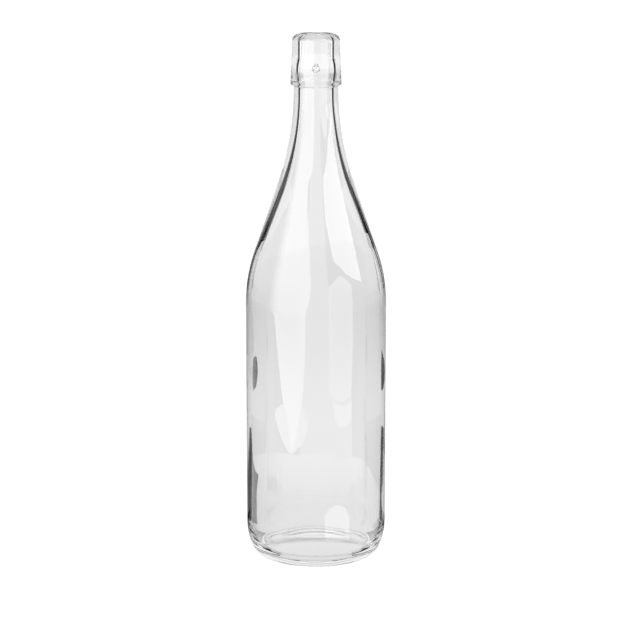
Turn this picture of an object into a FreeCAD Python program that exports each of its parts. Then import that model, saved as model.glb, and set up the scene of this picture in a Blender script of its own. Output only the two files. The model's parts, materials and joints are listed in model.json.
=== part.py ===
import FreeCAD, Part
import math
import os

from FreeCAD import Vector

# A clear one-litre glass bottle with a swing-top finish, blown in one piece. Millimetres, +Z up,
# origin at the centre of the foot. The two bail sockets lie on the Y axis, in the bead at the top.

# Whole bottle
HEIGHT = 319.0
BODY_RADIUS = 42.5
NECK_RADIUS = 13.25
BODY_WALL = 2.4
NECK_WALL = 4.25
FLOOR_THICKNESS = 4.9
HALFWAY_RISE = 0.75  # how much of its full rise a shallow dome has at half its radius

# Foot: a dome pushed up inside a flat bearing ring, and a heel that is taller than it is wide
PUSH_UP = 4.0
RING_INNER_RADIUS = 31.2
HEEL_WIDTH = 8.3
HEEL_HEIGHT = 19.7

# Inside of the foot: a floor with a low crown, and its own rounded corner
FLOOR_RADIUS = 33.0
FLOOR_CROWN = 3.2
FLOOR_CORNER_HEIGHT = 17.0

# Shoulder: a bulging arc off the body, a straight run, and a hollow arc into the neck
SHOULDER_BASE = 156.0
SHOULDER_TOP = 285.0
SHOULDER_BULGE = 100.0
SHOULDER_HOLLOW = 162.0
INNER_SHOULDER_BASE = 154.0
INNER_SHOULDER_TOP = 283.0

# Finish: the thick bead that the closure clips round
BEAD_BASE = 288.5
BEAD_BASE_RADIUS = 15.25
BEAD_MIDDLE_RADIUS = 14.6
BEAD_TOP_RADIUS = 14.2
BEAD_EDGE_ROUND = 1.0
NECK_FILLET = 0.8
LIP_ROUND = 3.9
BORE_RADIUS = 9.0
BORE_LENGTH = 12.5
BORE_LIP_ROUND = BEAD_TOP_RADIUS - LIP_ROUND - BORE_RADIUS
BELLY_RADIUS = 10.1

# Bail sockets: two short blind holes with a domed end and a rounded rim
SOCKET_HEIGHT = 299.5
SOCKET_RADIUS = 2.1
SOCKET_FLOOR = 13.4
SOCKET_DOME = 0.9
SOCKET_RIM_ROUND = 0.4

OVERSHOOT = 1.0  # how far the pin stands clear of the bead
SLACK = 0.3  # room for error when edges are picked out by their place


def point(radius, height):
    return Vector(radius, 0, height)


def line(start, end):
    return Part.LineSegment(start, end).toShape()


def arc(start, middle, end):
    """An arc of a circle through three points, held as a spline, because many of these arcs have their
    centre on the far side of the bottle's axis, where the face they sweep has no plain torus."""
    return Part.Arc(start, middle, end).toBSpline().toShape()


def quarter_ellipse(long_end, short_end, centre):
    """A quarter of an ellipse, from the end of its longer half-axis to the end of its shorter one."""
    ellipse = Part.Ellipse(long_end, short_end, centre)
    return Part.ArcOfEllipse(ellipse, 0, math.pi / 2).toShape()


def round_corner(start, end, centre):
    """A quarter of a circle about centre."""
    radius = (start - centre).Length
    outward = (start + end) * 0.5 - centre
    return arc(start, centre + outward * (radius / outward.Length), end)


def shoulder(body_radius, base, neck_radius, top):
    """The three edges from the body up to the neck, each tangent to the next."""
    low_centre = point(body_radius - SHOULDER_BULGE, base)
    high_centre = point(neck_radius + SHOULDER_HOLLOW, top)
    across = high_centre - low_centre
    turn = math.atan2(across.z, across.x) - math.acos((SHOULDER_BULGE + SHOULDER_HOLLOW) / across.Length)

    def low(angle):
        return low_centre + point(math.cos(angle), math.sin(angle)) * SHOULDER_BULGE

    def high(angle):
        return high_centre - point(math.cos(angle), math.sin(angle)) * SHOULDER_HOLLOW

    return [
        arc(low(0), low(turn / 2), low(turn)),
        line(low(turn), high(turn)),
        arc(high(turn), high(turn / 2), high(0)),
    ]


def outer_edges():
    """The outside, from the centre of the foot to the crown of the lip."""
    dome_middle = RING_INNER_RADIUS / 2
    ring_outer = BODY_RADIUS - HEEL_WIDTH
    bead_inner = BEAD_BASE_RADIUS - BEAD_EDGE_ROUND
    fillet_end = NECK_RADIUS + NECK_FILLET
    bead_low = BEAD_BASE + BEAD_EDGE_ROUND
    bead_high = HEIGHT - LIP_ROUND
    crown = BEAD_TOP_RADIUS - LIP_ROUND
    return [
        arc(point(0, PUSH_UP), point(dome_middle, PUSH_UP * HALFWAY_RISE), point(RING_INNER_RADIUS, 0)),
        line(point(RING_INNER_RADIUS, 0), point(ring_outer, 0)),
        quarter_ellipse(
            point(ring_outer, 0), point(BODY_RADIUS, HEEL_HEIGHT), point(ring_outer, HEEL_HEIGHT)
        ),
        line(point(BODY_RADIUS, HEEL_HEIGHT), point(BODY_RADIUS, SHOULDER_BASE)),
        *shoulder(BODY_RADIUS, SHOULDER_BASE, NECK_RADIUS, SHOULDER_TOP),
        line(point(NECK_RADIUS, SHOULDER_TOP), point(NECK_RADIUS, BEAD_BASE - NECK_FILLET)),
        round_corner(
            point(NECK_RADIUS, BEAD_BASE - NECK_FILLET),
            point(fillet_end, BEAD_BASE),
            point(fillet_end, BEAD_BASE - NECK_FILLET),
        ),
        line(point(fillet_end, BEAD_BASE), point(bead_inner, BEAD_BASE)),
        round_corner(
            point(bead_inner, BEAD_BASE), point(BEAD_BASE_RADIUS, bead_low), point(bead_inner, bead_low)
        ),
        arc(
            point(BEAD_BASE_RADIUS, bead_low),
            point(BEAD_MIDDLE_RADIUS, (bead_low + bead_high) / 2),
            point(BEAD_TOP_RADIUS, bead_high),
        ),
        round_corner(point(BEAD_TOP_RADIUS, bead_high), point(crown, HEIGHT), point(crown, bead_high)),
    ]


def inner_edges():
    """The inside, from the crown of the lip back down to the centre of the floor."""
    crown = BORE_RADIUS + BORE_LIP_ROUND
    bore_high = HEIGHT - BORE_LIP_ROUND
    bore_low = bore_high - BORE_LENGTH
    neck_inner = NECK_RADIUS - NECK_WALL
    body_inner = BODY_RADIUS - BODY_WALL
    belly_middle = (bore_low + BEAD_BASE) / 2
    corner_top = FLOOR_THICKNESS + FLOOR_CORNER_HEIGHT
    floor_middle = point(FLOOR_RADIUS / 2, FLOOR_THICKNESS + FLOOR_CROWN * HALFWAY_RISE)
    return [
        round_corner(point(crown, HEIGHT), point(BORE_RADIUS, bore_high), point(crown, bore_high)),
        line(point(BORE_RADIUS, bore_high), point(BORE_RADIUS, bore_low)),
        arc(
            point(BORE_RADIUS, bore_low),
            point(BELLY_RADIUS, belly_middle),
            point(neck_inner, BEAD_BASE),
        ),
        line(point(neck_inner, BEAD_BASE), point(neck_inner, INNER_SHOULDER_TOP)),
        *reversed(shoulder(body_inner, INNER_SHOULDER_BASE, neck_inner, INNER_SHOULDER_TOP)),
        line(point(body_inner, INNER_SHOULDER_BASE), point(body_inner, corner_top)),
        quarter_ellipse(
            point(FLOOR_RADIUS, FLOOR_THICKNESS),
            point(body_inner, corner_top),
            point(FLOOR_RADIUS, corner_top),
        ),
        arc(
            point(FLOOR_RADIUS, FLOOR_THICKNESS),
            floor_middle,
            point(0, FLOOR_THICKNESS + FLOOR_CROWN),
        ),
    ]


def socket_cutter(side):
    """The pin that forms one socket, on the -Y side for side -1 and on the +Y side for side 1."""
    outside = BEAD_BASE_RADIUS + OVERSHOOT
    foot = Vector(0, side * SOCKET_FLOOR, SOCKET_HEIGHT)
    pin = Part.makeCylinder(SOCKET_RADIUS, outside - SOCKET_FLOOR, foot, Vector(0, side, 0))
    dome_radius = (SOCKET_RADIUS**2 + SOCKET_DOME**2) / (2 * SOCKET_DOME)
    dome_centre = Vector(0, side * (SOCKET_FLOOR - SOCKET_DOME + dome_radius), SOCKET_HEIGHT)
    ball = Part.makeSphere(dome_radius, dome_centre)
    reach = Part.makeCylinder(SOCKET_RADIUS, 2 * SOCKET_DOME, foot, Vector(0, -side, 0))
    return pin.fuse(ball.common(reach))


def socket_rims(glass):
    """The edges where the sockets open onto the bead."""
    rims = []
    for edge in glass.Edges:
        box = edge.BoundBox
        narrow = max(box.XLength, box.ZLength) < 2 * SOCKET_RADIUS + SLACK
        beside_axis = max(abs(box.XMin), abs(box.XMax)) < SOCKET_RADIUS + SLACK
        outermost = min(abs(box.YMin), abs(box.YMax)) > SOCKET_FLOOR + SLACK
        if narrow and beside_axis and outermost:
            rims.append(edge)
    return rims


def bottle():
    axis_line = line(point(0, FLOOR_THICKNESS + FLOOR_CROWN), point(0, PUSH_UP))
    edges = outer_edges() + inner_edges() + [axis_line]
    section = Part.Face(Part.Wire(Part.__sortEdges__(edges)))
    glass = section.revolve(Vector(0, 0, 0), Vector(0, 0, 1), 360)
    for side in (-1, 1):
        glass = glass.cut(socket_cutter(side))
    glass = Part.Solid(glass.Solids[0])
    return glass.makeFillet(SOCKET_RIM_ROUND, socket_rims(glass))


os.makedirs("parts", exist_ok=True)
bottle().exportStep("parts/bottle.step")
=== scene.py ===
import json
import math

import bpy
import numpy as np
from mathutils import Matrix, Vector


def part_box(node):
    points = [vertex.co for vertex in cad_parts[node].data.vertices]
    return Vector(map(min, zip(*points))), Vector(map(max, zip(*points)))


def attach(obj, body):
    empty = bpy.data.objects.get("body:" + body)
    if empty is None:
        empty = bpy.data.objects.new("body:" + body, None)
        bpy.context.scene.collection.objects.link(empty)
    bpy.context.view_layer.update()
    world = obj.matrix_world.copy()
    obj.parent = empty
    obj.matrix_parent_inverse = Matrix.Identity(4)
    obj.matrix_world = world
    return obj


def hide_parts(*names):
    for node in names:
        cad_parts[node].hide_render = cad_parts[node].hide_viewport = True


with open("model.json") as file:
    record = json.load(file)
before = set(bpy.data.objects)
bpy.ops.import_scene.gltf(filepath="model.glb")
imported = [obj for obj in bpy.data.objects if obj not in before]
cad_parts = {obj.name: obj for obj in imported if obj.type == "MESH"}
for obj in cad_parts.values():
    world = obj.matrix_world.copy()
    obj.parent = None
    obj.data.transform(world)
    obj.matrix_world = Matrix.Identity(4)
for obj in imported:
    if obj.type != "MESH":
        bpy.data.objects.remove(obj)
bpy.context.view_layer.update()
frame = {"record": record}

# A clear swing-top bottle. The glass is one closed mesh, made by turning an outside and an inside
# outline about the Z axis. Metres, +Z up, and the camera looks along +Y. An outline is a list of
# (radius, height) points, and an angle round the bottle is measured from +X.

scene = bpy.context.scene
mounts = {mount["name"]: mount for mount in frame["record"]["mounts"]}
MM = 0.001

# ---------------------------------------------------------------- sizes read from the frame
HEIGHT = Vector(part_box("bottle")[1]).z
BORE_RADIUS = mounts["mouth"]["dims"]["r_mm"] * MM
SOCKET_HEIGHT = mounts["bail_socket_front"]["pos_m"][2]
SOCKET_RADIUS = mounts["bail_socket_front"]["dims"]["r_mm"] * MM

# ---------------------------------------------------------------- outline of the glass
BODY_RADIUS = 42.5 * MM
NECK_RADIUS = 13.25 * MM
NECK_WALL = 4.25 * MM
BODY_WALL = 2.4 * MM
FLOOR_THICKNESS = 4.9 * MM

PUSH_UP = 4.0 * MM
RING_INNER_RADIUS = 31.2 * MM
HEEL_WIDTH = 8.3 * MM
HEEL_HEIGHT = 19.7 * MM
FLOOR_RADIUS = 33.0 * MM
FLOOR_CROWN = 3.2 * MM
FLOOR_CORNER_HEIGHT = 17.0 * MM

SHOULDER_BASE = 156.0 * MM
SHOULDER_TOP = 285.0 * MM
SHOULDER_BULGE = 100.0 * MM
SHOULDER_HOLLOW = 162.0 * MM
INNER_SHOULDER_BASE = 154.0 * MM
INNER_SHOULDER_TOP = 283.0 * MM

BEAD_BASE = 288.5 * MM
BEAD_BASE_RADIUS = 15.25 * MM
BEAD_MIDDLE_RADIUS = 14.6 * MM
BEAD_TOP_RADIUS = 14.2 * MM
BEAD_EDGE_ROUND = 1.0 * MM
NECK_FILLET = 0.8 * MM
LIP_ROUND = 3.9 * MM
BORE_LENGTH = 12.5 * MM
BELLY_RADIUS = 10.1 * MM
BEAD_LOW = BEAD_BASE + BEAD_EDGE_ROUND
BEAD_HIGH = HEIGHT - LIP_ROUND

SOCKET_FLOOR = 13.4 * MM
SOCKET_DOME = 0.9 * MM
SOCKET_RIM_ROUND = 0.4 * MM

# ---------------------------------------------------------------- how the blown glass departs from that
# the two mould seams, which fade out towards the axis between these radii
SEAM_HEIGHT = 0.05 * MM
SEAM_ANGLE = math.radians(0.35)
SEAM_START_RADII = (10 * MM, 12 * MM)

# the stipples on the bearing ring
STIPPLES = 72
STIPPLE_TURN = 0.4
STIPPLE_DEPTH = 0.35 * MM
STIPPLE_RADIUS = RING_INNER_RADIUS + 1.5 * MM
STIPPLE_REACH = 2.2 * MM
STIPPLE_TOP = 0.5 * MM

# the waves on the inside, each with its length up the wall and its turns round it, which set in between
# these radii and heights
WAVE_DEPTH = 0.04 * MM
WAVES = ((13 * MM, 3), (21 * MM, -5))
WAVE_START_RADII = (12 * MM, 30 * MM)
WAVE_START_HEIGHTS = (8 * MM, 30 * MM)

# the thin wall on the right of the shoulder, which sets in and ends between these heights
SHOULDER_THINNING = 0.6 * MM
THIN_START_HEIGHTS = (175 * MM, 205 * MM)
THIN_END_HEIGHTS = (262 * MM, 282 * MM)
THIN_COSINES = (0.1, 0.75)

# the glass itself
IOR = 1.52
HAZE = 0.02
HAZE_SCALE = 60
HAZE_RANGE = (0.45, 0.8)
RIPPLE_SCALE = 90
RIPPLE_STRETCH = (1, 1, 0.3)
RIPPLE_STRENGTH = 0.5
RIPPLE_HEIGHT = 0.05 * MM

# how finely the mesh is divided
SEGMENTS = 288
DOME_ROWS = 12
ARC_ROWS = 18
BEAD_ROWS = 32
SOCKET_HALF_COLUMNS = 10
SOCKET_HALF_ROWS = 4


def straight(start, end, rows):
    """Points from start up to but not including end."""
    t = np.linspace(0, 1, rows, endpoint=False)[:, None]
    return np.array(start) * (1 - t) + np.array(end) * t


def round_arc(centre, radii, from_deg, to_deg, rows):
    """Points along part of an upright ellipse, up to but not including its end."""
    t = np.radians(np.linspace(from_deg, to_deg, rows, endpoint=False))[:, None]
    return np.array(centre) + np.array(radii) * np.hstack([np.cos(t), np.sin(t)])


def bowed(start, middle_radius, end, rows):
    """Points on a shallow curve from start to end whose middle is at middle_radius."""
    t = np.linspace(0, 1, rows, endpoint=False)[:, None]
    points = np.array(start) * (1 - t) + np.array(end) * t
    swell = middle_radius - (start[0] + end[0]) / 2
    points[:, 0] += swell * (4 * t * (1 - t))[:, 0]
    return points


def shoulder(body_radius, base, neck_radius, top, rows):
    """Bulging arc, straight run and hollow arc from the body up to the neck, each tangent to the next."""
    low_centre = np.array([body_radius - SHOULDER_BULGE, base])
    high_centre = np.array([neck_radius + SHOULDER_HOLLOW, top])
    across = high_centre - low_centre
    reach = math.hypot(*across)
    turn = math.atan2(across[1], across[0]) - math.acos((SHOULDER_BULGE + SHOULDER_HOLLOW) / reach)
    way = np.array([math.cos(turn), math.sin(turn)])
    low_join = low_centre + way * SHOULDER_BULGE
    high_join = high_centre - way * SHOULDER_HOLLOW
    turn_deg = math.degrees(turn)
    return np.vstack([
        round_arc(low_centre, [SHOULDER_BULGE] * 2, 0, turn_deg, rows),
        straight(low_join, high_join, rows),
        round_arc(high_centre, [SHOULDER_HOLLOW] * 2, 180 + turn_deg, 180, rows),
    ])


def outside():
    """The outline of the outside, from the centre of the foot to the crown of the lip."""
    ring_outer = BODY_RADIUS - HEEL_WIDTH
    fillet_end = NECK_RADIUS + NECK_FILLET
    bead_inner = BEAD_BASE_RADIUS - BEAD_EDGE_ROUND
    crown = BEAD_TOP_RADIUS - LIP_ROUND
    dome = np.linspace(0, 1, DOME_ROWS, endpoint=False)
    return np.vstack([
        np.stack([dome * RING_INNER_RADIUS, PUSH_UP * (1 - dome**2)], 1),
        straight((RING_INNER_RADIUS, 0), (ring_outer, 0), 5),
        round_arc((ring_outer, HEEL_HEIGHT), (HEEL_WIDTH, HEEL_HEIGHT), -90, 0, 24),
        straight((BODY_RADIUS, HEEL_HEIGHT), (BODY_RADIUS, SHOULDER_BASE), 24),
        shoulder(BODY_RADIUS, SHOULDER_BASE, NECK_RADIUS, SHOULDER_TOP, ARC_ROWS),
        straight((NECK_RADIUS, SHOULDER_TOP), (NECK_RADIUS, BEAD_BASE - NECK_FILLET), 2),
        round_arc((fillet_end, BEAD_BASE - NECK_FILLET), [NECK_FILLET] * 2, 180, 90, 5),
        straight((fillet_end, BEAD_BASE), (bead_inner, BEAD_BASE), 1),
        round_arc((bead_inner, BEAD_LOW), [BEAD_EDGE_ROUND] * 2, -90, 0, 5),
        bowed(
            (BEAD_BASE_RADIUS, BEAD_LOW), BEAD_MIDDLE_RADIUS, (BEAD_TOP_RADIUS, BEAD_HIGH), BEAD_ROWS,
        ),
        round_arc((crown, BEAD_HIGH), [LIP_ROUND] * 2, 0, 90, 10),
    ])


def inside():
    """The outline of the inside, from the crown of the lip down to the centre of the floor."""
    lip = BEAD_TOP_RADIUS - LIP_ROUND - BORE_RADIUS
    crown = BORE_RADIUS + lip
    bore_high = HEIGHT - lip
    bore_low = bore_high - BORE_LENGTH
    neck_inner = NECK_RADIUS - NECK_WALL
    body_inner = BODY_RADIUS - BODY_WALL
    corner_top = FLOOR_THICKNESS + FLOOR_CORNER_HEIGHT
    corner = (body_inner - FLOOR_RADIUS, FLOOR_CORNER_HEIGHT)
    dome = np.linspace(1, 0, DOME_ROWS)
    upward = shoulder(body_inner, INNER_SHOULDER_BASE, neck_inner, INNER_SHOULDER_TOP, ARC_ROWS)
    return np.vstack([
        round_arc((crown, bore_high), [lip] * 2, 90, 180, 5),
        straight((BORE_RADIUS, bore_high), (BORE_RADIUS, bore_low), 8),
        bowed((BORE_RADIUS, bore_low), BELLY_RADIUS, (neck_inner, BEAD_BASE), 14),
        straight((neck_inner, BEAD_BASE), (neck_inner, INNER_SHOULDER_TOP), 2),
        [(neck_inner, INNER_SHOULDER_TOP)],
        upward[::-1],
        straight((body_inner, INNER_SHOULDER_BASE), (body_inner, corner_top), 36)[1:],
        round_arc((FLOOR_RADIUS, corner_top), corner, 0, -90, 20),
        np.stack([dome * FLOOR_RADIUS, FLOOR_THICKNESS + FLOOR_CROWN * (1 - dome**2)], 1),
    ])


def angles():
    """Even steps round the bottle, with one more on each side of both mould seams."""
    even = np.arange(SEGMENTS) * 2 * math.pi / SEGMENTS
    extra = [SEAM_ANGLE, math.pi - SEAM_ANGLE, math.pi + SEAM_ANGLE, 2 * math.pi - SEAM_ANGLE]
    return np.sort(np.append(even, extra))


def seam(angle):
    """1 on the two mould seams at -X and +X, and 0 away from them."""
    off = np.minimum(np.abs(np.sin(angle / 2)), np.abs(np.cos(angle / 2))) * 2
    return np.clip(1 - off / SEAM_ANGLE, 0, 1)


def smooth_step(value, low, high):
    """0 below low, 1 above high and an even S between them."""
    t = np.clip((value - low) / (high - low), 0, 1)
    return t * t * (3 - 2 * t)


def outside_surface(outline, angle):
    """Radii and heights of the outside, with the seams raised and the bearing ring stippled."""
    radius = np.repeat(outline[:, :1], len(angle), 1)
    height = np.repeat(outline[:, 1:], len(angle), 1)
    off_axis = smooth_step(radius, *SEAM_START_RADII)
    radius = radius - SEAM_HEIGHT * (1 - seam(angle)) * off_axis
    on_ring = np.clip(1 - np.abs(radius - STIPPLE_RADIUS) / STIPPLE_REACH, 0, 1) * (height < STIPPLE_TOP)
    hollow = 0.5 - 0.5 * np.cos(angle * STIPPLES + STIPPLE_TURN)
    return radius, height + STIPPLE_DEPTH * hollow * on_ring


def inside_surface(outline, angle):
    """Radii and heights of the inside, gently wavy and thinner on the right of the shoulder."""
    radius = np.repeat(outline[:, :1], len(angle), 1)
    height = np.repeat(outline[:, 1:], len(angle), 1)
    body = smooth_step(radius, *WAVE_START_RADII) * smooth_step(height, *WAVE_START_HEIGHTS)
    wave = sum(np.sin(height / length + turns * angle) for length, turns in WAVES)
    high = smooth_step(height, *THIN_START_HEIGHTS) * (1 - smooth_step(height, *THIN_END_HEIGHTS))
    thinning = SHOULDER_THINNING * smooth_step(np.cos(angle), *THIN_COSINES) * high
    return radius - WAVE_DEPTH * wave * body + thinning, height


def rings_of(radius, height, angle):
    """Points in space for radii and heights given at each angle."""
    return np.stack([radius * np.cos(angle), radius * np.sin(angle), height], 2)


def bead_radius_at(z):
    """The radius of the bead's side at a height, away from the seams."""
    t = (z - BEAD_LOW) / (BEAD_HIGH - BEAD_LOW)
    swell = BEAD_MIDDLE_RADIUS - (BEAD_BASE_RADIUS + BEAD_TOP_RADIUS) / 2
    return BEAD_BASE_RADIUS * (1 - t) + BEAD_TOP_RADIUS * t + swell * 4 * t * (1 - t) - SEAM_HEIGHT


def bead_point(across, z, side, sink=0.0):
    """A point of the bead's surface beside the socket's axis, sunk by some depth."""
    radius = bead_radius_at(z)
    return (across, side * (math.sqrt(radius**2 - across**2) - sink), z)


def glass_mesh(name):
    """The whole bottle as one closed mesh, with a socket in the front and one in the back of the bead."""
    angle = angles()
    columns = len(angle)
    outer = outside()[1:]
    inner = inside()[:-1]
    grid = np.vstack([
        rings_of(*outside_surface(outer, angle), angle),
        rings_of(*inside_surface(inner, angle), angle),
    ])
    rows = len(grid)
    points = [tuple(point) for point in grid.reshape(-1, 3)]
    foot_centre = len(points)
    points.append((0, 0, outside()[0, 1]))
    floor_centre = len(points)
    points.append((0, 0, inside()[-1, 1]))

    def index(row, column):
        return row * columns + column % columns

    # windows that are left open in the bead for the two sockets
    heights = outer[:, 1]
    in_bead = np.where((heights > BEAD_LOW) & (heights < BEAD_HIGH) & (outer[:, 0] > NECK_RADIUS))[0]
    middle_row = in_bead[np.argmin(np.abs(heights[in_bead] - SOCKET_HEIGHT))]
    low, high = middle_row - SOCKET_HALF_ROWS, middle_row + SOCKET_HALF_ROWS
    windows = []
    for side in (-1, 1):
        middle = int(np.argmin(np.abs(angle - side * math.pi / 2 % (2 * math.pi))))
        windows.append((side, middle - SOCKET_HALF_COLUMNS, middle + SOCKET_HALF_COLUMNS))

    faces = []
    for row in range(rows - 1):
        for column in range(columns):
            if low <= row < high and any(first <= column < last for _, first, last in windows):
                continue
            faces.append((
                index(row, column), index(row, column + 1),
                index(row + 1, column + 1), index(row + 1, column),
            ))
    for column in range(columns):
        faces.append((foot_centre, index(0, column + 1), index(0, column)))
        faces.append((index(rows - 1, column), index(rows - 1, column + 1), floor_centre))

    for side, first, last in windows:
        border = [index(low, column) for column in range(first, last)]
        border += [index(row, last) for row in range(low, high)]
        border += [index(high, column) for column in range(last, first, -1)]
        border += [index(row, first) for row in range(high, low, -1)]
        add_socket(points, faces, border, side)

    mesh = bpy.data.meshes.new(name)
    mesh.from_pydata(points, [], faces)
    mesh.update()
    mesh.shade_smooth()
    return mesh


def add_socket(points, faces, border, side):
    """Fills a window in the bead with a blind round hole: rim, wall and domed end."""
    rim = SOCKET_RADIUS + SOCKET_RIM_ROUND
    starts = [(points[i][0], points[i][2] - SOCKET_HEIGHT) for i in border]
    turns = [math.atan2(dz, dx) for dx, dz in starts]
    loops = [border]

    def add_loop(place):
        loop = []
        for start, turn in zip(starts, turns):
            loop.append(len(points))
            points.append(place(start, turn))
        loops.append(loop)

    for share in (0.3, 0.6, 0.85):
        def blended(start, turn, share=share):
            dx = start[0] * (1 - share) + rim * math.cos(turn) * share
            dz = start[1] * (1 - share) + rim * math.sin(turn) * share
            return bead_point(dx, SOCKET_HEIGHT + dz, side)
        add_loop(blended)
    for turned_deg in (0, 22, 45, 68, 90):
        def rounded(start, turn, turned=math.radians(turned_deg)):
            reach = rim - SOCKET_RIM_ROUND * math.sin(turned)
            sink = SOCKET_RIM_ROUND * (1 - math.cos(turned))
            dx, dz = reach * math.cos(turn), reach * math.sin(turn)
            return bead_point(dx, SOCKET_HEIGHT + dz, side, sink)
        add_loop(rounded)
    for turned_deg in (0, 12, 25, 40, 55, 72):
        def domed(start, turn, turned=math.radians(turned_deg)):
            reach = SOCKET_RADIUS * math.cos(turned)
            depth = SOCKET_FLOOR - SOCKET_DOME * math.sin(turned)
            return (reach * math.cos(turn), side * depth, SOCKET_HEIGHT + reach * math.sin(turn))
        add_loop(domed)

    for outer, inner in zip(loops, loops[1:]):
        for n in range(len(outer)):
            after = (n + 1) % len(outer)
            faces.append((outer[n], outer[after], inner[after], inner[n]))
    tip = len(points)
    points.append((0, side * (SOCKET_FLOOR - SOCKET_DOME), SOCKET_HEIGHT))
    last = loops[-1]
    for n in range(len(last)):
        faces.append((last[n], last[(n + 1) % len(last)], tip))


def glass_material():
    """Clear glass with the faint ripple and haze of a moulded surface."""
    material = bpy.data.materials.new("clear_glass")
    material.use_nodes = True
    tree = material.node_tree
    shader = tree.nodes["Principled BSDF"]
    shader.inputs["Base Color"].default_value = (1, 1, 1, 1)
    shader.inputs["IOR"].default_value = IOR
    shader.inputs["Transmission Weight"].default_value = 1.0
    place = tree.nodes.new("ShaderNodeTexCoord")

    haze = tree.nodes.new("ShaderNodeTexNoise")
    haze.inputs["Scale"].default_value = HAZE_SCALE
    haze.inputs["Detail"].default_value = 4
    spread = tree.nodes.new("ShaderNodeMapRange")
    spread.inputs["From Min"].default_value = HAZE_RANGE[0]
    spread.inputs["From Max"].default_value = HAZE_RANGE[1]
    spread.inputs["To Max"].default_value = HAZE
    tree.links.new(place.outputs["Object"], haze.inputs["Vector"])
    tree.links.new(haze.outputs["Fac"], spread.inputs["Value"])
    tree.links.new(spread.outputs["Result"], shader.inputs["Roughness"])

    stretch = tree.nodes.new("ShaderNodeMapping")
    stretch.inputs["Scale"].default_value = RIPPLE_STRETCH
    ripple = tree.nodes.new("ShaderNodeTexNoise")
    ripple.inputs["Scale"].default_value = RIPPLE_SCALE
    ripple.inputs["Detail"].default_value = 2
    bump = tree.nodes.new("ShaderNodeBump")
    bump.inputs["Strength"].default_value = RIPPLE_STRENGTH
    bump.inputs["Distance"].default_value = RIPPLE_HEIGHT
    tree.links.new(place.outputs["Object"], stretch.inputs["Vector"])
    tree.links.new(stretch.outputs["Vector"], ripple.inputs["Vector"])
    tree.links.new(ripple.outputs["Fac"], bump.inputs["Height"])
    tree.links.new(bump.outputs["Normal"], shader.inputs["Normal"])
    return material


bottle = bpy.data.objects.new("bottle_glass", glass_mesh("bottle_glass"))
scene.collection.objects.link(bottle)
bottle.data.materials.append(glass_material())
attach(bottle, "root")
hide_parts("bottle")


# ---------------------------------------------------------------- studio
# Everything here is stage. The strength of a panel is the light it gives, 1 being white in the picture.
# A panel with glossy=False shows only through the glass, and one with transmission=False is seen only as a
# reflection.
BLACK = 0.01
CONTRAST = 0.8
ROOM_SEEN = 1.05
ROOM_UNSEEN = 0.89
FLOOR_UNSEEN = 0.81
FLOOR_HALF_WIDTH = 3.0
FLOOR_DROP = 0.2 * MM

# the cards beside the bottle, in millimetres: how far behind its axis they stand, and how wide the edge
# cards are
CARD_DEPTH = 42
HALF_CARD_DEPTH = 42.5
EDGE_CARD_DEPTH = 43
EDGE_CARD_INNER = 46
EDGE_CARD_OUTER = 90
# where the fins of a fin card point away from, in millimetres, and their spacing and length
FIN_AIM = Vector((796, -796, 684))
FIN_PITCHES = (1.5, 1.0)
FIN_LENGTH = 6.0


def emitter(name, strength):
    """A material that glows evenly."""
    material = bpy.data.materials.new(name)
    material.use_nodes = True
    nodes = material.node_tree.nodes
    nodes.clear()
    output = nodes.new("ShaderNodeOutputMaterial")
    glow = nodes.new("ShaderNodeEmission")
    glow.inputs["Strength"].default_value = strength
    material.node_tree.links.new(glow.outputs["Emission"], output.inputs["Surface"])
    return material


def two_way(tree, kind, seen, unseen):
    """A glow whose strength is seen for the camera's own rays, and unseen for every other ray."""
    path = tree.nodes.new("ShaderNodeLightPath")
    mix = tree.nodes.new("ShaderNodeMixShader")
    tree.links.new(path.outputs["Is Camera Ray"], mix.inputs["Fac"])
    for socket, strength in ((1, unseen), (2, seen)):
        glow = tree.nodes.new(kind)
        glow.inputs["Color"].default_value = (1, 1, 1, 1)
        glow.inputs["Strength"].default_value = strength
        tree.links.new(glow.outputs[0], mix.inputs[socket])
    return mix.outputs["Shader"]


def panel(name, corners, faces, strength, glossy=True, transmission=True):
    """A glowing sheet that the camera can't see, but that the glass can reflect or show through."""
    mesh = bpy.data.meshes.new(name)
    mesh.from_pydata([tuple(corner) for corner in corners], [], faces)
    mesh.update()
    obj = bpy.data.objects.new(name, mesh)
    scene.collection.objects.link(obj)
    obj.data.materials.append(emitter(name, strength))
    obj.visible_camera = False
    obj.visible_shadow = False
    obj.visible_diffuse = False
    obj.visible_glossy = glossy
    obj.visible_transmission = transmission


def around(azimuth, distance, height):
    """A point at an azimuth from straight behind the bottle, positive to the right."""
    turn = math.radians(azimuth)
    return (distance * math.sin(turn), distance * math.cos(turn), height)


def flat(name, corners, strength, **rays):
    """A flat panel with the given corners."""
    panel(name, corners, [tuple(range(len(corners)))], strength, **rays)


def band(name, azimuths, distance, low, high, strength, **rays):
    """A panel that curves round the bottle through some azimuths."""
    count = len(azimuths)
    corners = [around(azimuth, distance, low) for azimuth in azimuths]
    corners += [around(azimuth, distance, high) for azimuth in azimuths]
    faces = [(i, i + 1, count + i + 1, count + i) for i in range(count - 1)]
    panel(name, corners, faces, strength, **rays)


def wall(name, distance, spots, strength, **rays):
    """An upright panel with corners at some azimuths and heights, all at one distance from the axis."""
    flat(name, [around(azimuth, distance, height) for azimuth, height in spots], strength, **rays)


def on_floor(name, spots, lift, strength, **rays):
    """A patch of the table with corners at some azimuths and distances, lifted by some millimetres."""
    flat(name, [around(azimuth, distance, lift * MM) for azimuth, distance in spots], strength, **rays)


def floor_ring(name, azimuths, near, far, lift, strength, **rays):
    """A patch of the table between two distances from the axis, through some azimuths."""
    spots = [(azimuth, near) for azimuth in azimuths] + [(azimuth, far) for azimuth in azimuths[::-1]]
    on_floor(name, spots, lift, strength, **rays)


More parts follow.
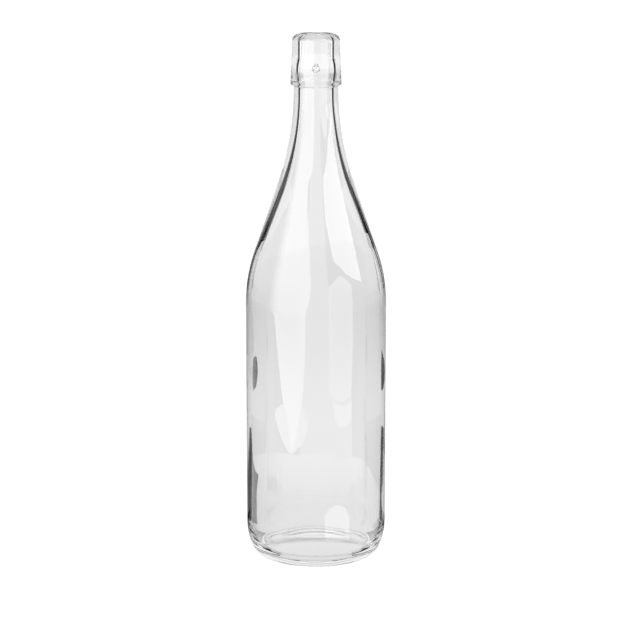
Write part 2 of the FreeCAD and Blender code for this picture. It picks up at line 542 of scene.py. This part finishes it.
def floor_patch(name, corners, lift, strength, **rays):
    """A patch of the table with its corners' x and y in millimetres, lifted by some millimetres."""
    flat(name, [(x * MM, y * MM, lift * MM) for x, y in corners], strength, **rays)


def card(name, depth, corners, strength, **rays):
    """An upright card at a fixed depth behind the axis, with corners in millimetres."""
    flat(name, [(x * MM, depth * MM, z * MM) for x, z in corners], strength, **rays)


def edge_card(name, side, low, high, strength):
    """A card close beside the body, between two heights, that only reflections see."""
    inner = side * EDGE_CARD_INNER
    outer = side * EDGE_CARD_OUTER
    corners = [(inner, low), (outer, low), (outer, high), (inner, high)]
    card(name, EDGE_CARD_DEPTH, corners, strength, transmission=False)


def oval(x, z, half_width, half_height, start, end, points):
    """Points on an ellipse from one angle to another, in degrees."""
    turns = np.radians(np.linspace(start, end, points))
    return [(x + half_width * math.cos(turn), z + half_height * math.sin(turn)) for turn in turns]


def crossings(corners, axis, value):
    """Where the outline of a flat shape crosses a line of constant x (axis 0) or z (axis 1), in order."""
    found = []
    for start, end in zip(corners, corners[1:] + corners[:1]):
        if (start[axis] - value) * (end[axis] - value) < 0:
            t = (value - start[axis]) / (end[axis] - start[axis])
            found.append(start[1 - axis] + t * (end[1 - axis] - start[1 - axis]))
    return sorted(found)


def fin_card(name, depth, corners, strength):
    """A card made of crossed thin fins, solid from in front but open to a view from high on the right."""
    lines = list(zip(corners, corners[1:] + corners[:1]))
    for axis, pitch in enumerate(FIN_PITCHES):
        low = min(corner[axis] for corner in corners)
        high = max(corner[axis] for corner in corners)
        for value in np.arange(low + pitch / 2, high, pitch):
            ends = crossings(corners, axis, value)
            for first, last in zip(ends[::2], ends[1::2]):
                if axis == 0:
                    lines.append(((value, first), (value, last)))
                else:
                    lines.append(((first, value), (last, value)))
    points = []
    faces = []
    for line in lines:
        for x, z in line:
            near = Vector((x, depth, z))
            far = near + (near - FIN_AIM).normalized() * FIN_LENGTH
            points += [tuple(near * MM), tuple(far * MM)]
        count = len(points)
        faces.append((count - 4, count - 3, count - 1, count - 2))
    panel(name, points, faces, strength, glossy=False)


# the room and the floor, both pale and evenly lit
scene.render.film_transparent = False
scene.view_settings.view_transform = "Standard"
scene.view_settings.gamma = CONTRAST
world = bpy.data.worlds.new("studio")
scene.world = world
world.use_nodes = True
world.node_tree.nodes.clear()
room_output = world.node_tree.nodes.new("ShaderNodeOutputWorld")
room_glow = two_way(world.node_tree, "ShaderNodeBackground", ROOM_SEEN, ROOM_UNSEEN)
world.node_tree.links.new(room_glow, room_output.inputs["Surface"])

floor_material = bpy.data.materials.new("floor")
floor_material.use_nodes = True
floor_material.node_tree.nodes.clear()
floor_output = floor_material.node_tree.nodes.new("ShaderNodeOutputMaterial")
floor_shine = two_way(floor_material.node_tree, "ShaderNodeEmission", ROOM_SEEN, FLOOR_UNSEEN)
floor_material.node_tree.links.new(floor_shine, floor_output.inputs["Surface"])

floor_mesh = bpy.data.meshes.new("floor")
floor_signs = [(-1, -1), (1, -1), (1, 1), (-1, 1)]
floor_corners = [(x * FLOOR_HALF_WIDTH, y * FLOOR_HALF_WIDTH, 0) for x, y in floor_signs]
floor_mesh.from_pydata(floor_corners, [], [(0, 1, 2, 3)])
floor = bpy.data.objects.new("floor", floor_mesh)
scene.collection.objects.link(floor)
floor.data.materials.append(floor_material)
floor.location.z = -FLOOR_DROP

# the studio in front: dim at the sides, pale round the camera, and paler on the table near the bottle
FRONT = np.linspace(95, 265, 18)
FRONT_MIDDLE = np.linspace(122, 205, 9)
band("front_dim", FRONT, 2.4, 0.0, 3.0, 1.0, transmission=False)
floor_ring("front_floor_dim", FRONT, 0.25, 2.4, 0.1, 1.0, transmission=False)
floor_ring("front_floor_shade", FRONT, 0.039, 0.5, 0.1, 0.72, glossy=False)
band("front_middle", np.linspace(160, 200, 5), 2.3, 0.0, 3.0, 2.2, transmission=False)
floor_ring("front_floor_middle", FRONT_MIDDLE, 0.25, 2.3, 0.2, 2.2, transmission=False)

# the glow on the table near the bottle: azimuth, how far it reaches and how bright it is there
NEAR_GLOW = [
    (60, 0.16, 0.5), (70, 0.185, 0.8), (78, 0.205, 1.1), (86, 0.228, 1.4), (95, 0.25, 1.8),
    (104, 0.265, 2.2), (114, 0.274, 2.5), (126, 0.283, 2.6), (156, 0.298, 2.7), (179, 0.303, 2.7),
    (200, 0.300, 2.6), (220, 0.295, 2.5), (232, 0.291, 2.2), (242, 0.289, 1.8), (250, 0.286, 1.4),
    (258, 0.283, 1.1), (267, 0.277, 0.8), (276, 0.27, 0.6), (286, 0.26, 0.4), (298, 0.25, 0.3),
    (306, 0.24, 0.2),
]
NEAR_GLOW_START = 0.05
for (start, start_reach, strength), (end, end_reach, _) in zip(NEAR_GLOW, NEAR_GLOW[1:]):
    spots = [(start, start_reach), (end, end_reach), (end, NEAR_GLOW_START), (start, NEAR_GLOW_START)]
    on_floor("near_glow", spots, 0.3, strength, transmission=False)
on_floor("near_spot", [
    (168, 0.150), (160, 0.167), (150, 0.173), (137, 0.164), (131, 0.140), (138, 0.082), (168, 0.094),
], 0.4, 4.6, transmission=False)

# softboxes and what they light on the table, seen only as reflections
SOFTBOX_DISTANCE = 0.9
SOFTBOX_TOP = 1.2
SOFTBOX_STRENGTH = 4.4
wall("softbox_left", SOFTBOX_DISTANCE, [
    (197, 0), (190, 0.17), (188, 0.40), (192, 0.63), (202, 0.67), (210, 0.72),
    (222, SOFTBOX_TOP), (243, SOFTBOX_TOP), (243, 0),
], SOFTBOX_STRENGTH, transmission=False)
for start, end, strength in [
    (243, 246, 4.0), (246, 249, 3.6), (249, 252, 3.1), (252, 255, 2.5), (255, 258, 1.9), (258, 261, 1.3),
]:
    spots = [(start, 0.0), (start, SOFTBOX_TOP), (end, SOFTBOX_TOP), (end, 0.0)]
    wall("softbox_left_edge", SOFTBOX_DISTANCE, spots, strength, transmission=False)
wall("softbox_right", SOFTBOX_DISTANCE, [
    (157, SOFTBOX_TOP), (157, 0.66), (150, 0.62), (135, 0.50), (129, 0.42), (115, 0.33), (99, 0.26),
    (96, 0.6), (96, SOFTBOX_TOP),
], SOFTBOX_STRENGTH, transmission=False)
wall("softbox_right_low", 0.92, [
    (160, 0), (160, 0.30), (150, 0.37), (140, 0.42), (130, 0.38), (120, 0.28), (119, 0),
], 3.0, transmission=False)
on_floor("left_table_glow", [
    (197, 0.90), (197, 0.60), (201, 0.45), (207, 0.39), (212, 0.33), (218, 0.293),
    (225, 0.385), (234, 0.44), (242, 0.57), (250, 0.74), (254, 0.90), (225, 0.90),
], 0.5, 4.0, transmission=False)
on_floor("left_table_blade", [
    (218, 0.293), (210, 0.305), (195, 0.348), (192, 0.377), (199, 0.426), (212, 0.433), (236, 0.430),
    (245, 0.412), (248, 0.390), (240, 0.348), (230, 0.312),
], 0.4, 3.2, transmission=False)
on_floor("right_table_glow", [
    (160, 0.92), (160, 0.47), (123, 0.46), (119, 0.62), (119, 0.92), (140, 0.92),
], 0.4, 3.0, transmission=False)
on_floor("right_table_blade", [
    (155, 0.450), (150, 0.388), (141, 0.364), (128, 0.371), (122, 0.392), (122, 0.440),
], 0.5, 3.2, transmission=False)

# the sides: bright walls that the edges of the neck turn towards the camera, and a greyer table, which is
# darkest nearer its inner edge
SIDE_TABLE_EDGES = np.linspace(0.45, 1.55, 23)
SIDE_TABLE_WIDTH = SIDE_TABLE_EDGES[-1] - SIDE_TABLE_EDGES[0]
SIDE_TABLE_STRENGTH = 0.81
SIDE_TABLE_GREYING = 0.26
SIDE_TABLE_SKEW = 0.7
for side in (-1, 1):
    band("side_wall", side * np.linspace(60, 94, 5), 1.6, 0.0, 2.4, 1.05, glossy=False)
    table_arc = side * np.linspace(18, 150, 12)
    for near, far in zip(SIDE_TABLE_EDGES, SIDE_TABLE_EDGES[1:]):
        along = ((near + far) / 2 - SIDE_TABLE_EDGES[0]) / SIDE_TABLE_WIDTH
        greying = SIDE_TABLE_GREYING * math.sin(math.pi * along**SIDE_TABLE_SKEW)
        floor_ring("side_table", table_arc, near, far, 0.15, SIDE_TABLE_STRENGTH - greying, glossy=False)
    far_arc = side * np.linspace(18, 95, 8)
    floor_ring("side_table_far", far_arc, 0.33, 2.9, 0.1, 0.6, transmission=False)
    near_arc = side * np.linspace(10, 48, 5)
    floor_ring("side_table_near", near_arc, 0.05, 0.33, 0.1, 0.03, transmission=False)
    dark_arc = side * np.linspace(48, 95, 6)
    floor_ring("side_table_dark", dark_arc, 0.06, 0.36, 0.1, 0.03, transmission=False)

# the table behind the bottle, seen through the glass: each distance from the axis and the strength there
BACK = np.linspace(-60, 60, 13)
# the strength drops towards the foot, a painted shadow round the bottle on the table
BACK_LIGHT_AND_SHADOW = [
    (0.035, 0.715), (0.085, 0.735), (0.12, 0.765), (0.16, 0.79), (0.20, 0.815), (0.30, 0.82),
    (0.42, 0.80), (0.50, 0.78), (0.60, 0.76), (0.80, 0.755), (1.30, 0.78),
]
BACK_DISTANCES, BACK_STRENGTHS = zip(*BACK_LIGHT_AND_SHADOW)
BACK_RINGS = 48
# a dimmer disc of table right under the foot, a painted shadow under the bottle
FOOT_SHADOW = 0.70
foot_spots = [(azimuth, BACK_DISTANCES[0]) for azimuth in range(0, 360, 10)]
on_floor("under_foot", foot_spots, -0.1, FOOT_SHADOW, glossy=False)
back_edges = np.geomspace(BACK_DISTANCES[0], BACK_DISTANCES[-1], BACK_RINGS + 1)
for near, far in zip(back_edges, back_edges[1:]):
    strength = float(np.interp((near + far) / 2, BACK_DISTANCES, BACK_STRENGTHS))
    floor_ring("back_table", BACK, near, far, -0.1, strength, glossy=False)

# far and high behind the bottle, where only the rim of the foot turns light from
wall("high_back", 2.9, [(-32, 0.97), (32, 0.97), (32, 1.4), (-32, 1.4)], 0.03, glossy=False)

# near cards that darken the edges of the glass, and shades on the table round the foot
NECK_CARD = [
    (45, 188), (45, 235), (50, 260), (52, 345), (84, 345), (84, 214), (72, 209), (62, 204), (58, 198),
    (56, 191), (50, 188),
]
fin_card("card_neck_left", CARD_DEPTH, [(-x, z) for x, z in NECK_CARD], BLACK)
card("card_neck_right", CARD_DEPTH, NECK_CARD, BLACK, glossy=False)
for side in (-1, 1):
    edge_card("card_edge_high", side, 158, 240, BLACK)
    edge_card("card_edge_middle", side, 145, 158, 0.2)
    edge_card("card_edge_low", side, 9, 145, 0.4)

fin_card("card_left_edge", CARD_DEPTH, [(-50, 160), (-57, 154), (-57, 192), (-49, 192)], BLACK)
fin_card("card_left_low", CARD_DEPTH, [
    (-46.5, 1), (-88, 1), (-88, 50), (-80, 62), (-66, 66), (-56, 52), (-48, 40),
], BLACK)
fin_card("card_left_low_half", HALF_CARD_DEPTH, [(-43, 0), (-52, 0), (-52, 43), (-42, 35), (-44, 24)], 0.12)
fin_card("card_left_spot", CARD_DEPTH, oval(-46.2, 103, 3.6, 10.5, 0, 330, 12), BLACK)
fin_card("card_left_grey", CARD_DEPTH, [(-51, 115), (-62, 115), (-62, 153), (-51, 153)], 0.5)

card("card_right_edge", CARD_DEPTH, [
    (51, 160), (57, 154), (58, 186), (61, 192), (61, 197), (49, 197), (51, 186),
], BLACK, glossy=False)
card("card_right_low", CARD_DEPTH, [
    (60, 1), (84, 1), (84, 50), (76, 66), (57, 66), (56, 56), (60, 46), (58, 36), (63, 26), (70, 19),
    (66, 12),
], BLACK, glossy=False)
card("card_right_middle", CARD_DEPTH, oval(84, 101, 28, 13, 90, 270, 9), BLACK, glossy=False)

floor_ring("foot_shade_left", np.linspace(-95, -64, 6), 0.037, 0.075, 0.05, 0.35, glossy=False)
floor_ring("foot_shade_right", np.linspace(64, 95, 6), 0.037, 0.075, 0.05, 0.35, glossy=False)
for side in (-1, 1):
    floor_ring("foot_shade_front", side * np.linspace(104, 140, 5), 0.0345, 0.042, 0.15, 0.3, glossy=False)
floor_patch("floor_left_shade", [(-44, 8), (-44, 42), (-95, 42), (-95, 8)], 0.2, 0.6, glossy=False)
floor_patch("floor_right_shade", [(56, 5), (95, 5), (95, 42), (60, 42)], 0.2, 0.02, glossy=False)

# ---------------------------------------------------------------- camera
CAMERA_DISTANCE = 1.309
CAMERA_HEIGHT = 0.4341
CAMERA_SIDE = -0.0006
CAMERA_PITCH = math.radians(12.3)
SENSOR_WIDTH = 36
LENS = 126
BOUNCES = 40
camera_data = bpy.data.cameras.new("camera")
camera_data.sensor_width = SENSOR_WIDTH
camera_data.lens = LENS
camera = bpy.data.objects.new("camera", camera_data)
scene.collection.objects.link(camera)
camera.location = (CAMERA_SIDE, -CAMERA_DISTANCE, CAMERA_HEIGHT)
camera.rotation_euler = (math.pi / 2 - CAMERA_PITCH, 0, 0)
scene.camera = camera

# light passes many glass surfaces before it reaches the camera
scene.cycles.max_bounces = BOUNCES
scene.cycles.transmission_bounces = BOUNCES
scene.cycles.glossy_bounces = BOUNCES
scene.cycles.use_denoising = True
